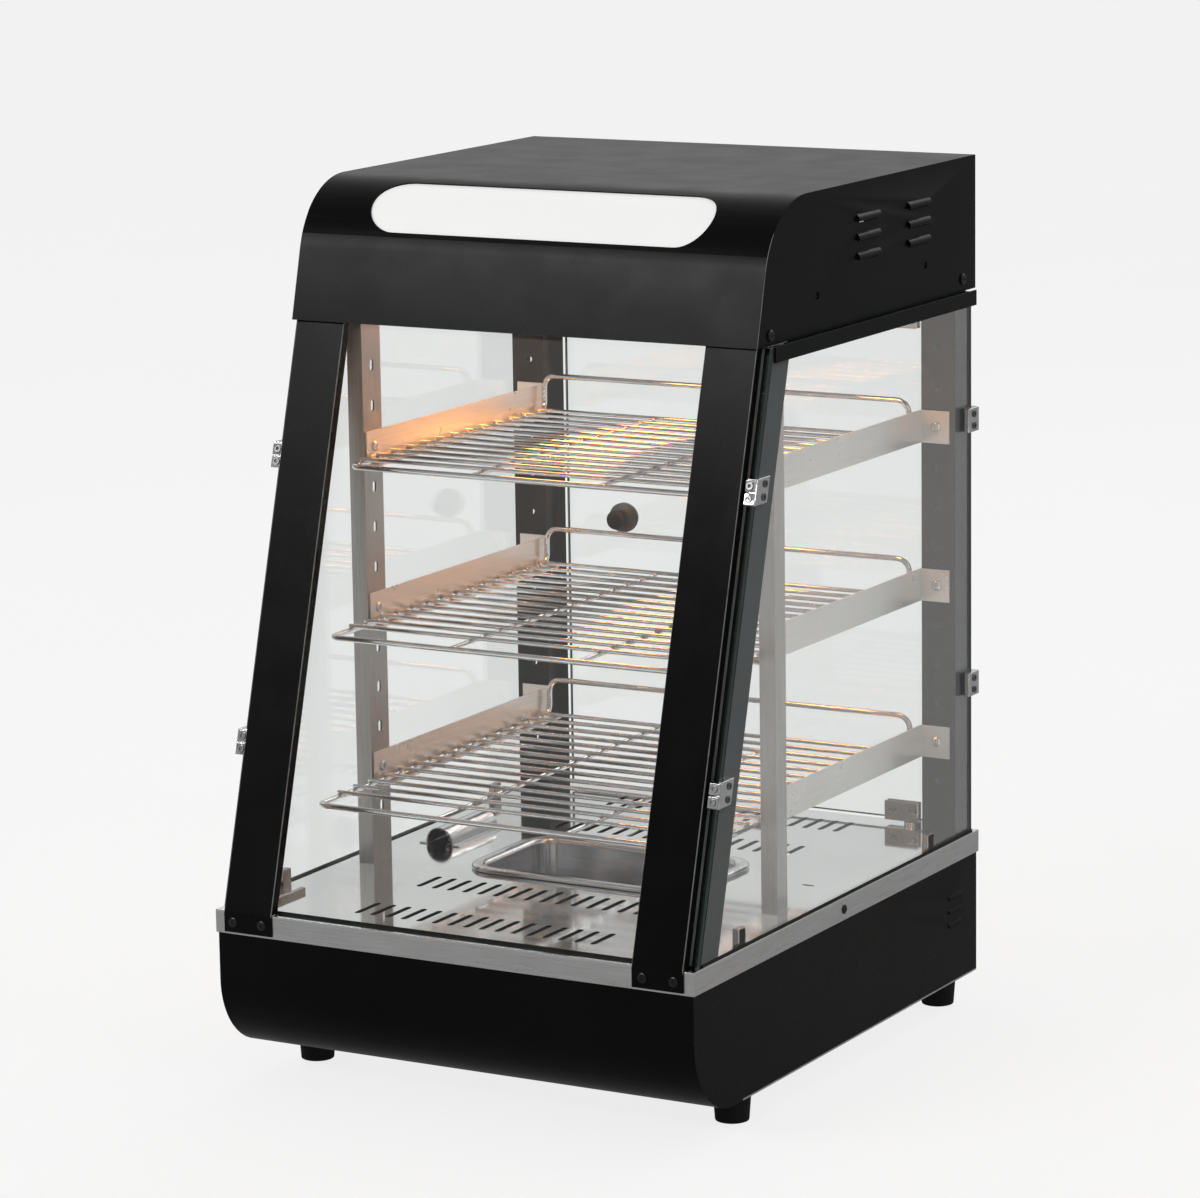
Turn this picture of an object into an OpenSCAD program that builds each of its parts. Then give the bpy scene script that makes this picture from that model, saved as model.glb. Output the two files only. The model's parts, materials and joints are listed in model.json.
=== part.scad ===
// Heated countertop display case for hot food, three wire shelves, rear glass door.
// Millimetres. +X is to the right seen from the front, the front faces -Y, +Z is up.
// The origin is on the table, under the middle of the case.

/* [Overall] */
// Height from the table to the top of the hood
case_h = 610; // [604:1:620]
// Width of the stainless deck
deck_w = 369; // [367:1:372]
// Depth from the front of the deck to the tip of the rear knob
case_d = 444; // [443:1:446]
// Width of the hood
hood_w = 358; // [357:1:359]
// Lean of the front glass from the vertical, in degrees
lean = 15.8; // [15.5:0.1:15.9]

/* [Base] */
// Height of the rubber feet
foot_h = 21.5; // [18:0.5:24]
// Height of the deck surface above the table
deck_z = 125.5; // [124:0.5:128]
// Depth of the deck's folded edge
skirt_h = 16; // [12:1:20]
// Radius of the bend under the front of the base
base_bend_r = 55; // [45:1:60]
// Thickness of the sheet metal
sheet = 1.2; // [1:0.1:1.5]

/* [Deck] */
// Number of vent slots in each row
vent_count = 16; // [8:1:17]
// Distance between two slots of a row
vent_pitch = 12.2; // [11:0.1:12.5]
// Length of a vent slot
vent_len = 30; // [20:1:32]
// Width of a vent slot
vent_w = 4.5; // [3:0.1:6]

/* [Hood] */
// Height of the hood's lower edge above the table
hood_z = 516; // [514:1:518]
// Radius of the bend at the front of the hood
hood_bend_r = 60; // [55:1:64]
// Half length of the lit sign window
sign_half = 131; // [120:0.5:140]
// Height of the lit sign window, across the bend
sign_h = 46.4; // [40:0.2:48]

/* [Glass] */
// Thickness of the front and side glass
glass_t = 4.5; // [4:0.5:5]
// Distance between the outer faces of the side glass
glass_w = 365; // [364:1:366]
// Thickness of the door glass
door_t = 5; // [4:0.5:5]
// Width of the glass door
door_w = 289; // [284:1:292]

/* [Shelves] */
// Height of the middle of the lowest shelf bracket
bracket_z = 194.5; // [190:0.5:196]
// Distance between two shelves
shelf_step = 113.5; // [110:0.5:116]
// Distance between two cross wires of a shelf
wire_pitch = 20; // [18:1:22]
// Radius of the frame wire of a shelf
frame_wire_r = 2; // [1.8:0.1:2.2]
// Radius of the cross wires of a shelf
cross_wire_r = 1.5; // [1.2:0.1:1.7]

/* [Water pan] */
// Length of the pan's rim, side to side
pan_w = 176; // [170:1:180]
// Width of the pan's rim, front to back
pan_d = 108; // [100:1:112]
// Depth of the pan
pan_depth = 62; // [40:1:66]

/* [Hidden] */
$fn = 48;
eps = 0.02;

// driving planes
front_y = -case_d / 2 + 2;
rear_y = case_d / 2 - 4;
deck_rear_y = case_d / 2 - 10.5;
deck_half = deck_w / 2;
base_half = deck_half - sheet;
base_front_y = front_y + sheet;
base_rear_y = deck_rear_y - sheet;
hood_half = hood_w / 2;
deck_under = deck_z - sheet;
lean_tan = tan(lean);
lean_cos = cos(lean);
hood_lean = 14.5;

// slanted front: the strips' outer face bends at the deck
strip_t = 1.1;
strip_bend_z = deck_z;
strip_face_y = front_y - strip_t;
strip_x0 = 139;
strip_x1 = 177;
strip_return = 8;

// glass
glass_half = glass_w / 2;
glass_in = glass_half - glass_t;
glass_z0 = deck_z + 0.2;
glass_z1 = hood_z - 0.7;
side_rear_y = 204;
side_off = strip_return + glass_t + 0.2;

// posts and ceiling
ceiling_z = hood_z + 2;
header_z = 505;
post_in = 151.5;
front_post_y = -68;
front_post_out = 163.5;
rear_post_y = 181;
rear_post_out = glass_in - 0.3;
rail_in = 174.2;
hole_pitch = shelf_step / 4;
hole_x = 163.5;

// shelves
bracket_low = 12;
bracket_high = 11.2;
bracket_t = 1.2;
ledge = 10;
shelf_half = 146;
shelf_rear_y = 172;
shelf_gap = 0.3;
backstop_h = 27;
shelf_front = [-146, -125, -93];
shelf_lift = bracket_low - bracket_t - shelf_gap - frame_wire_r;

// water pan
pan_y = -2;
pan_wall = 1;
pan_rim = 8;
pan_gap = 0.3;
pan_rim_t = 3;
pan_cut = 6;

// rear door
door_y = 203;
door_z0 = 130;
door_z1 = 499.5;
clamp_web = 1.5;
pivot_x = 134;
pin_r = 3;
pin_gap = 0.05;
clamp_w = 26;
clamp_h = 14;
clamp_t = 9;
clamp_x0 = 113;
knob_x = -103.5;
knob_z = 331;

// rear controls, all on the middle line of the base
control_z = 74;
dial_x = -20;
dial_shaft_r = 3;
switch_x = [-90, -126];
lamp_x = -58;
inlet_x = 128;
rocker_w = 12;
rocker_h = 22;
rocker_tilt = 8;
rocker_y = base_rear_y - 3;
rocker_pin_r = 1.5;

// glass clips: heights of the two rows
clip_z = [235, 425];
clip_h = 17;

// ---------- helpers ----------

// y of the slanted plane that lies off millimetres behind the strips' outer face
function slant_y(z, off = 0) = strip_face_y + (z - strip_bend_z) * lean_tan + off / lean_cos;

// a plate whose outline is drawn in Y and Z, from x0 to x1
module plate_x(x0, x1) {
    translate([x0, 0, 0]) rotate([90, 0, 90]) linear_extrude(x1 - x0) children();
}

// a plate whose outline is drawn in X and Z, from y0 to y1
module plate_y(y0, y1) {
    translate([0, y1, 0]) rotate([90, 0, 0]) linear_extrude(y1 - y0) children();
}

module block(x0, x1, y0, y1, z0, z1) {
    translate([x0, y0, z0]) cube([x1 - x0, y1 - y0, z1 - z0]);
}

module rod_x(x0, x1, y, z, r) {
    translate([x0, y, z]) rotate([0, 90, 0]) cylinder(h = x1 - x0, r = r);
}

module rod_y(y0, y1, x, z, r) {
    translate([x, y1, z]) rotate([90, 0, 0]) cylinder(h = y1 - y0, r = r);
}

module rod_z(z0, z1, x, y, r) {
    translate([x, y, z0]) cylinder(h = z1 - z0, r = r);
}

// rectangle with round corners, centred
module round_rect(w, d, r) {
    square([w - 2 * r, d], center = true);
    square([w, d - 2 * r], center = true);
    for (sx = [-1, 1], sy = [-1, 1])
        translate([sx * (w / 2 - r), sy * (d / 2 - r)]) circle(r);
}

// slot with round ends along Y, centred
module slot_2d(len, w) {
    square([w, len - w], center = true);
    for (s = [-1, 1]) translate([0, s * (len / 2 - w / 2)]) circle(w / 2);
}

// the same part on the left side
module to_left() { mirror([1, 0, 0]) children(); }

// a domed screw head with a cross recess, its thread pointing into -Z
module screw(head_r, head_h, shank_r, shank_l) {
    difference() {
        union() {
            cylinder(h = head_h * 0.5, r = head_r);
            translate([0, 0, head_h * 0.5])
                cylinder(h = head_h * 0.5, r1 = head_r, r2 = head_r * 0.72);
        }
        for (a = [0, 90]) rotate([0, 0, a])
            translate([-head_r * 0.5, -head_r * 0.1, head_h * 0.5])
                cube([head_r, head_r * 0.2, head_h]);
    }
    translate([0, 0, -shank_l]) cylinder(h = shank_l + eps, r = shank_r);
}

// a pressed louvre on a +X face: a half round hood along Y, open below
module louvre_hood(x, y, z, len, r) {
    difference() {
        intersection() {
            rod_y(y - len / 2, y + len / 2, x - r * 0.45, z, r);
            block(x - 0.01, x + r, y - len, y + len, z - r * 0.2, z + r);
        }
        rod_y(y - len / 2 + 1, y + len / 2 - 1, x - r * 0.45, z, r - 0.9);
    }
}

module louvre_cut(x, y, z, len, r) {
    block(x - 2 * sheet, x + r, y - len / 2 + 1, y + len / 2 - 1, z - r * 0.5, z + r * 0.35);
}

// ---------- base ----------

// side outline of the base, inset by t, in Y and Z
module base_outline(t, rear, top) {
    bend_y = base_front_y + base_bend_r;
    bend_z = foot_h + base_bend_r;
    intersection() {
        translate([bend_y, bend_z]) circle(base_bend_r - t, $fn = 96);
        translate([base_front_y, foot_h]) square([base_bend_r + 1, base_bend_r + 1]);
    }
    translate([base_front_y + t, bend_z]) square([rear - base_front_y - t, top - bend_z]);
    translate([bend_y, foot_h + t]) square([rear - bend_y, bend_z - foot_h]);
}

module base_front_wrap() {
    wrap_end_y = base_front_y + base_bend_r + 12;
    color([0.1, 0.1, 0.1]) difference() {
        plate_x(-base_half, base_half) intersection() {
            difference() {
                base_outline(0, base_rear_y, deck_under);
                base_outline(sheet, base_rear_y + 1, deck_under + 1);
            }
            translate([base_front_y - 1, 0]) square([wrap_end_y - base_front_y + 1, deck_z]);
        }
        strip_screw_holes();
    }
}

// holes for the screws that hold the front strips
module strip_screw_holes() {
    for (s = [-1, 1], x = strip_screw_x)
        rod_y(strip_face_y - 2, base_front_y + 5, s * x, strip_screw_z, 2.05);
}

skirt_screw_y = -4;
skirt_screw_z = deck_z - 8.5;

base_louvre_z = [64, 74, 84];
base_louvre_y = 175;

module base_side_right() {
    x = base_half;
    color([0.12, 0.12, 0.12]) {
        difference() {
            plate_x(x - sheet, x) base_outline(sheet, base_rear_y - sheet, deck_under);
            for (z = base_louvre_z) louvre_cut(x, base_louvre_y, z, 22, 3);
            rod_x(x - 5, x + 1, skirt_screw_y, skirt_screw_z, 2);
        }
        intersection() {
            for (z = base_louvre_z) louvre_hood(x - 1.1, base_louvre_y, z, 22, 3.4);
            block(x - 1, x + 1, 0, case_d, 0, case_h);
        }
    }
}

module base_side_left() { to_left() base_side_right(); }

module base_rear_panel() {
    y0 = base_rear_y - sheet;
    color([0.12, 0.12, 0.12]) difference() {
        block(-base_half, base_half, y0, base_rear_y, foot_h + sheet, deck_under);
        rod_y(y0 - 1, base_rear_y + 1, dial_x, control_z, 5);
        rod_y(y0 - 1, base_rear_y + 1, lamp_x, control_z, 5);
        for (x = switch_x)
            block(x - 7.5, x + 7.5, y0 - 1, base_rear_y + 1, control_z - 14, control_z + 14);
        block(inlet_x - 14, inlet_x + 14, y0 - 1, base_rear_y + 1,
              control_z - 10.5, control_z + 10.5);
        for (row = [0:3], col = [0:4])
            plate_y(y0 - 1, base_rear_y + 1)
                translate([28 + col * 14, control_z - 18 + row * 12]) slot_2d(8, 4);
    }
}

module base_bottom_plate() {
    y0 = base_front_y + base_bend_r + 12;
    color([0.35, 0.35, 0.36]) difference() {
        block(-base_half, base_half, y0, base_rear_y, foot_h, foot_h + sheet);
        for (p = foot_places) rod_z(foot_h - 1, foot_h + 2, p[0], p[1], 2.6);
        for (i = [-5:5], y = [-30, 60])
            translate([i * 22, y, foot_h - 1]) linear_extrude(sheet + 2) slot_2d(34, 5);
    }
}

foot_x = 163.5;
foot_places = [[-foot_x, -130], [foot_x, -130], [-foot_x, 187], [foot_x, 187]];

module rubber_feet() {
    color([0.06, 0.06, 0.06]) for (p = foot_places) translate([p[0], p[1], 0])
        difference() {
            union() {
                cylinder(h = foot_h - 2, r1 = 11.5, r2 = 13);
                translate([0, 0, foot_h - 2]) cylinder(h = 2, r = 13);
            }
            translate([0, 0, -1]) cylinder(h = 11, r = 6);
            cylinder(h = foot_h + 1, r = 2.6);
        }
}

module foot_screws() {
    color([0.7, 0.7, 0.72]) for (p = foot_places) translate([p[0], p[1], 0]) {
        translate([0, 0, 6.5]) cylinder(h = 3.5, r = 4.5);
        translate([0, 0, 10 - eps]) cylinder(h = foot_h - 10 + 4, r = 2.5);
        translate([0, 0, foot_h + sheet]) cylinder(h = 3.2, r = 4.2, $fn = 6);
    }
}

// ---------- deck ----------

vent_rows = [-172, -92, 97, 175];

module deck_plan() {
    hole_w = pan_w - 2 * pan_rim + pan_cut;
    hole_d = pan_d - 2 * pan_rim + pan_cut;
    difference() {
        translate([-deck_half, front_y]) square([deck_w, deck_rear_y - front_y]);
        translate([0, pan_y]) round_rect(hole_w, hole_d, 21);
        for (y = vent_rows, i = [0:vent_count - 1])
            translate([(i - (vent_count - 1) / 2) * vent_pitch, y]) slot_2d(vent_len, vent_w);
        translate([145, 14]) rotate(90) slot_2d(9, 3);
    }
}

module deck_plate() {
    low = deck_z - skirt_h;
    color([0.78, 0.78, 0.8]) {
        translate([0, 0, deck_under]) linear_extrude(sheet) deck_plan();
        difference() {
            block(-deck_half, deck_half, front_y, base_front_y, low, deck_under + eps);
            strip_screw_holes();
        }
        block(-deck_half, deck_half, base_rear_y, deck_rear_y, low, deck_under + eps);
        for (s = [-1, 1]) difference() {
            x0 = s > 0 ? base_half : -deck_half;
            block(x0, x0 + sheet, front_y, deck_rear_y, low, deck_under + eps);
            rod_x(-deck_half - 1, deck_half + 1, skirt_screw_y, skirt_screw_z, 2);
        }
    }
}

heater_r = 4;
heater_z = 60;
heater_y = [-135, 125];
heater_x = 118;

// a U of tubular element: two long runs joined by half rings, with cold ends at the rear
module heating_element() {
    bend = (heater_y[1] - heater_y[0]) / 2;
    color([0.35, 0.33, 0.32]) translate([0, 0, heater_z]) {
        rod_y(heater_y[0] + 24, heater_y[1] + 24, -heater_x, 0, heater_r);
        rod_y(heater_y[0] + 24, heater_y[1] + 24, heater_x, 0, heater_r);
        rod_x(-heater_x + 24, heater_x - 24, heater_y[0], 0, heater_r);
        for (s = [-1, 1]) translate([s * (heater_x - 24), heater_y[0] + 24, 0])
            rotate([0, 0, s > 0 ? -90 : 180])
                rotate_extrude(angle = 90) translate([24, 0]) circle(heater_r, $fn = 24);
        for (s = [-1, 1]) rod_y(heater_y[1] + 24 - eps, heater_y[1] + 38, s * heater_x, 0, 2);
    }
}

module heater_brackets() {
    color([0.7, 0.7, 0.72]) for (s = [-1, 1], y = [-60, 90]) {
        x = s * heater_x;
        difference() {
            block(x - 7, x + 7, y, y + 1.5, foot_h + sheet, heater_z + 7);
            rod_y(y - 1, y + 3, x, heater_z, heater_r);
        }
        block(x - 7, x + 7, y, y + 14, foot_h + sheet, foot_h + sheet + 1.5);
    }
}

module thermostat_body() {
    y1 = base_rear_y - sheet;
    color([0.85, 0.84, 0.8]) difference() {
        union() {
            block(dial_x - 20, dial_x + 20, y1 - 30, y1 - 4, control_z - 17, control_z + 17);
            rod_y(y1 - 4 - eps, y1, dial_x, control_z, 9);
        }
        rod_y(y1 - 14, y1 + 1, dial_x, control_z, dial_shaft_r + 0.05);
    }
}

module switch_housings() {
    y1 = base_rear_y;
    color([0.08, 0.08, 0.08]) for (x = switch_x) difference() {
        union() {
            block(x - 9, x + 9, y1, y1 + 1.6, control_z - 15.5, control_z + 15.5);
            block(x - 7.4, x + 7.4, y1 - 24, y1 + eps, control_z - 13.9, control_z + 13.9);
        }
        block(x - 6.4, x + 6.4, y1 - 11, y1 + 3, control_z - 12.6, control_z + 12.6);
        rod_x(x - 7.1, x + 7.1, rocker_y, control_z, rocker_pin_r + 0.05);
    }
    color([0.75, 0.65, 0.4]) for (x = switch_x, dz = [-7, 0, 7])
        block(x - 2.4, x + 2.4, y1 - 32, y1 - 24 + eps, control_z + dz - 0.4, control_z + dz + 0.4);
}

module pilot_lamp() {
    color([0.1, 0.6, 0.2]) {
        rod_y(base_rear_y, base_rear_y + 1.5, lamp_x, control_z, 6.5);
        rod_y(base_rear_y + 1.5 - eps, base_rear_y + 3.5, lamp_x, control_z, 4.6);
        rod_y(base_rear_y - 18, base_rear_y + eps, lamp_x, control_z, 4.9);
    }
}

// three pole appliance inlet with an open socket
module power_inlet() {
    y1 = base_rear_y;
    color([0.07, 0.07, 0.07]) difference() {
        union() {
            plate_y(y1, y1 + 2.4) translate([inlet_x, control_z]) round_rect(50, 24, 6);
            block(inlet_x - 13.8, inlet_x + 13.8, y1 - 20, y1 + eps,
                  control_z - 10.2, control_z + 10.2);
        }
        plate_y(y1 - 16.5, y1 + 4) translate([inlet_x, control_z])
            polygon([[-12, -8], [12, -8], [12, 3], [7, 8], [-7, 8], [-12, 3]]);
        for (s = [-1, 1]) rod_y(y1 - 1, y1 + 4, inlet_x + s * 20, control_z, 1.7);
        pin_blades(pin_slack);
    }
}

pin_slack = 0.05;

// the three flat blades of the inlet, grown by grow on every side
module pin_blades(grow) {
    for (p = [[-7, -2], [0, 2], [7, -2]])
        block(inlet_x + p[0] - 1 - grow, inlet_x + p[0] + 1 + grow, base_rear_y - 26,
              base_rear_y - 3, control_z + p[1] - 2 - grow, control_z + p[1] + 2 + grow);
}

module inlet_pins() { color([0.8, 0.7, 0.4]) pin_blades(0); }

module terminal_block() {
    z0 = foot_h + sheet;
    color([0.88, 0.86, 0.8]) difference() {
        block(70, 112, 150, 170, z0, z0 + 16);
        for (i = [0:3]) rod_z(z0 + 8, z0 + 17, 76 + i * 10, 160, 2.6);
    }
}

guard_x = 139;
guard_y = [0, 63];

// folded cover over the temperature sensor, at the left of the deck
module probe_guard() {
    color([0.8, 0.8, 0.82]) translate([-guard_x, 0, deck_z]) {
        difference() {
            rod_y(guard_y[0], guard_y[1], 0, 2, 11);
            rod_y(guard_y[0] - 1, guard_y[1] + 1, 0, 2, 10);
            block(-20, 20, -10, 80, -20, 0);
        }
        for (s = [-1, 1])
            block(s > 0 ? 10.6 : -16.6, s > 0 ? 16.6 : -10.6, guard_y[0], guard_y[1], 0, 1);
    }
}

module thermostat_probe() {
    color([0.75, 0.5, 0.3]) {
        rod_y(guard_y[0] + 10, guard_y[1] - 8, -guard_x, deck_z + 6, 3);
        for (y = [guard_y[0] + 16, guard_y[1] - 16])
            block(-guard_x - 1, -guard_x + 1, y, y + 2, deck_z, deck_z + 4);
    }
}

// ---------- posts and shelf brackets ----------

module front_post_right() {
    color([0.6, 0.6, 0.62]) difference() {
        union() {
            block(post_in, front_post_out, front_post_y, front_post_y + sheet, deck_z, ceiling_z);
            block(post_in, post_in + sheet, front_post_y, front_post_y + 24, deck_z, ceiling_z);
            block(front_post_out - sheet, front_post_out, front_post_y, front_post_y + 15,
                  deck_z, ceiling_z);
        }
        for (k = [-1:10]) translate([post_in - 1, front_post_y + 12.5, bracket_z + k * hole_pitch])
            rotate([90, 0, 90]) linear_extrude(4) slot_2d(8, 4.2);
    }
}

module front_post_left() { to_left() front_post_right(); }

module rear_post_right() {
    color([0.33, 0.33, 0.34]) difference() {
        union() {
            block(post_in, rear_post_out, rear_post_y, rear_post_y + sheet, deck_z, header_z);
            block(post_in, post_in + sheet, rear_post_y, rear_post_y + 29, deck_z, header_z);
            block(rear_post_out - sheet, rear_post_out, rear_post_y, rear_post_y + 24,
                  deck_z, header_z);
        }
        for (k = [-1:10]) rod_y(rear_post_y - 1, rear_post_y + 3, hole_x,
                                bracket_z + k * hole_pitch, 2.2);
    }
}

module rear_post_left() { to_left() rear_post_right(); }

function bracket_mid(i) = bracket_z + i * shelf_step;

// angle strip from the front post to a tab on the rear post
module shelf_bracket(i) {
    z0 = bracket_mid(i) - bracket_low;
    z1 = bracket_mid(i) + bracket_high;
    x1 = post_in;
    x0 = post_in - bracket_t;
    tab_y = rear_post_y - bracket_t;
    front = front_post_y + 2;
    difference() {
        union() {
            block(x0, x1, front, rear_post_y, z0, z1);
            block(x0 - ledge, x1, front, tab_y, z0, z0 + bracket_t);
            block(x0, x1 + 22, tab_y, rear_post_y, z0, z1);
        }
        rod_y(tab_y - 1, rear_post_y + 1, hole_x, bracket_mid(i), 2.1);
        rod_x(x0 - 1, x1 + 1, front_post_y + 12.5, bracket_mid(i), 2.1);
    }
}

module shelf_brackets_right() { color([0.72, 0.72, 0.74]) for (i = [0:2]) shelf_bracket(i); }
module shelf_brackets_left() { to_left() shelf_brackets_right(); }

module bracket_screws() {
    color([0.75, 0.75, 0.77]) for (s = [-1, 1], i = [0:2]) {
        translate([s * hole_x, rear_post_y - bracket_t, bracket_mid(i)])
            rotate([90, 0, 0]) screw(3.6, 2, 2, 6);
        translate([s * (post_in - bracket_t), front_post_y + 12.5, bracket_mid(i)])
            rotate([0, -s * 90, 0]) screw(3.6, 1.6, 2, 6);
    }
}

// ---------- glass and front frame ----------

module front_glass() {
    color([0.75, 0.9, 0.85, 0.3]) plate_x(-glass_half, glass_half) polygon([
        [slant_y(glass_z0, strip_return), glass_z0],
        [slant_y(glass_z0, strip_return + glass_t), glass_z0],
        [slant_y(glass_z1, strip_return + glass_t), glass_z1],
        [slant_y(glass_z1, strip_return), glass_z1]]);
}

module side_glass_right() {
    color([0.75, 0.9, 0.85, 0.3]) plate_x(glass_in, glass_half) polygon([
        [slant_y(glass_z0, side_off), glass_z0], [side_rear_y, glass_z0],
        [side_rear_y, glass_z1], [slant_y(glass_z1, side_off), glass_z1]]);
}

module side_glass_left() { to_left() side_glass_right(); }

// inner angle along the slanted corner of the front and side glass
module corner_angle_right() {
    z0 = deck_z;
    z1 = hood_z - 0.3;
    o0 = side_off;
    o1 = side_off + sheet;
    flange = 28;
    color([0.3, 0.31, 0.31]) {
        plate_x(glass_in - 18, glass_in) polygon([[slant_y(z0, o0), z0],
            [slant_y(z0, o1), z0], [slant_y(z1, o1), z1], [slant_y(z1, o0), z1]]);
        plate_x(glass_in - sheet, glass_in) polygon([[slant_y(z0, o0), z0],
            [slant_y(z0, o0) + flange, z0], [slant_y(z1, o0) + flange, z1],
            [slant_y(z1, o0), z1]]);
    }
}

module corner_angle_left() { to_left() corner_angle_right(); }

// folded black strip: a leaning channel with a flat tab over the deck's front edge
module front_strip_right() {
    top = hood_z + 14;
    low = deck_z - skirt_h + 1.5;
    color([0.1, 0.1, 0.1]) difference() {
        union() {
            plate_x(strip_x0, strip_x1) polygon([
                [strip_face_y, low], [front_y, low], [front_y, strip_bend_z],
                [slant_y(top, strip_t), top], [slant_y(top), top],
                [strip_face_y, strip_bend_z]]);
            for (x = [strip_x0, strip_x1 - strip_t]) plate_x(x, x + strip_t) polygon([
                [slant_y(deck_z + 0.3), deck_z + 0.3],
                [slant_y(deck_z + 0.3, strip_return), deck_z + 0.3],
                [slant_y(glass_z1, strip_return), glass_z1], [slant_y(glass_z1), glass_z1]]);
        }
        strip_screw_holes();
    }
}

strip_screw_x = [147, 170];
strip_screw_z = 118;

module front_strip_left() { to_left() front_strip_right(); }

hood_screw_places = [[-96, 522.5], [196.5, 524.5]];

module black_screws() {
    color([0.13, 0.13, 0.13]) for (s = [-1, 1]) {
        for (x = strip_screw_x) translate([s * x, strip_face_y, strip_screw_z])
            rotate([90, 0, 0]) screw(3.4, 0.9, 2, 5);
        for (p = hood_screw_places) translate([s * hood_half, p[0], p[1]])
            rotate([0, s * 90, 0]) screw(4, 1.6, 2, 5);
        translate([s * deck_half, skirt_screw_y, skirt_screw_z])
            rotate([0, s * 90, 0]) screw(3.2, 1, 1.9, 5);
        for (x = [40, 160]) translate([s * x, rear_y, hood_z + 8])
            rotate([-90, 0, 0]) screw(3.6, 1.4, 2, 5);
    }
}

clip_out = glass_half + 4;
clip_jaw = 3.5;
clip_len = 17.5;
clip_pad = 1;

// chrome corner clip, leaning with the glass: a front jaw and a side jaw, each with two pads
module corner_clip(z) {
    z0 = z - clip_h / 2;
    z1 = z + clip_h / 2;
    jaw0 = strip_return - clip_jaw;
    plate_x(strip_x1 + 0.4, clip_out) polygon([
        [slant_y(z0, jaw0), z0], [slant_y(z0, strip_return), z0],
        [slant_y(z1, strip_return), z1], [slant_y(z1, jaw0), z1]]);
    plate_x(glass_half, clip_out) polygon([
        [slant_y(z0, jaw0), z0], [slant_y(z0, jaw0) + clip_len, z0],
        [slant_y(z1, jaw0) + clip_len, z1], [slant_y(z1, jaw0), z1]]);
    for (dz = [-4.2, 4.2]) {
        low = z + dz - 3.7;
        high = z + dz + 3.7;
        plate_x(strip_x1 + 1, clip_out - 0.7) polygon([
            [slant_y(low, jaw0 - clip_pad), low], [slant_y(low, jaw0 + 1), low],
            [slant_y(high, jaw0 + 1), high], [slant_y(high, jaw0 - clip_pad), high]]);
    }
}

// chrome clip that holds the rear edge of the side glass against the rear post
module rear_clip(z) {
    y0 = side_rear_y - 12;
    y1 = side_rear_y + 4;
    block(glass_half, clip_out, y0, y1, z - clip_h / 2, z + clip_h / 2);
    block(rear_post_out - sheet, clip_out, side_rear_y + 1, y1, z - clip_h / 2, z + clip_h / 2);
}

module glass_clips_right() {
    color([0.8, 0.8, 0.82]) for (z = clip_z) {
        corner_clip(z);
        rear_clip(z);
    }
}

module glass_clips_left() { to_left() glass_clips_right(); }

module clip_screws() {
    color([0.6, 0.6, 0.62]) for (s = [-1, 1], z = clip_z, dz = [-4.2, 4.2]) {
        front = slant_y(z + dz, strip_return - clip_jaw - clip_pad);
        side = slant_y(z + dz, strip_return - clip_jaw) + clip_len - 6;
        translate([s * (strip_x1 + 4.8), front, z + dz]) rotate([90 - lean, 0, 0]) set_screw();
        translate([s * clip_out, side, z + dz]) rotate([0, s * 90, 0]) set_screw();
        translate([s * clip_out, side_rear_y - 4, z + dz]) rotate([0, s * 90, 0]) set_screw();
    }
}

// a set screw with a six-sided socket, standing a little proud of its clip
module set_screw() {
    translate([0, 0, -2]) difference() {
        cylinder(h = 2.8, r = 2.5);
        translate([0, 0, 1]) cylinder(h = 2, r = 1.35, $fn = 6);
    }
}

// small feet that hold the lower edges of the glass on the deck
module glass_stops() {
    color([0.75, 0.75, 0.77]) for (s = [-1, 1], y = [-146, 140]) {
        block(s > 0 ? glass_in - 5 : -glass_in, s > 0 ? glass_in : -glass_in + 5,
              y - 5, y + 5, deck_z, deck_z + 12);
    }
    color([0.08, 0.08, 0.08]) block(-157, -153, -190, -154, deck_z, deck_z + 3.5);
}

// ---------- hood ----------

hood_front_y = -114.2;
bend_z = case_h - hood_bend_r;
bend_y = hood_front_y + (bend_z + hood_bend_r * sin(hood_lean) - hood_z) * tan(hood_lean)
         + hood_bend_r * cos(hood_lean);

// side outline of the hood, inset by t, in Y and Z
module hood_outline(t, low, rear) {
    r = hood_bend_r - t;
    tangent = [bend_y - r * cos(hood_lean), bend_z + r * sin(hood_lean)];
    top = bend_z + r;
    corner_y = tangent[0] + (top - tangent[1]) * tan(hood_lean);
    difference() {
        polygon([[tangent[0] - (tangent[1] - low) * tan(hood_lean), low], [corner_y, top],
                 [rear, top], [rear, low]]);
        difference() {
            polygon([tangent, [corner_y - 1, top + 1], [bend_y, top + 1], [bend_y, bend_z]]);
            translate([bend_y, bend_z]) circle(r, $fn = 96);
        }
    }
}

sign_angle = 40.5;

// a prism through the front bend of the hood, square to its surface
module sign_prism(half_len, h) {
    translate([0, bend_y, bend_z]) rotate([sign_angle, 0, 0])
        translate([0, 0, hood_bend_r - 14]) linear_extrude(30) {
            square([2 * half_len - h, h], center = true);
            for (s = [-1, 1]) translate([s * (half_len - h / 2), 0]) circle(h / 2);
        }
}

module hood_top_wrap() {
    color([0.13, 0.13, 0.13]) difference() {
        plate_x(-hood_half, hood_half) difference() {
            hood_outline(0, hood_z, rear_y - sheet);
            hood_outline(sheet, hood_z - 1, rear_y + 1);
        }
        sign_prism(sign_half, sign_h);
    }
}

hood_louvre_z = [558.5, 571.3, 584];
hood_louvre_y = [48, 126];
hood_hole_places = [[-28, 540.5], [137, 541.5]];

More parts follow.
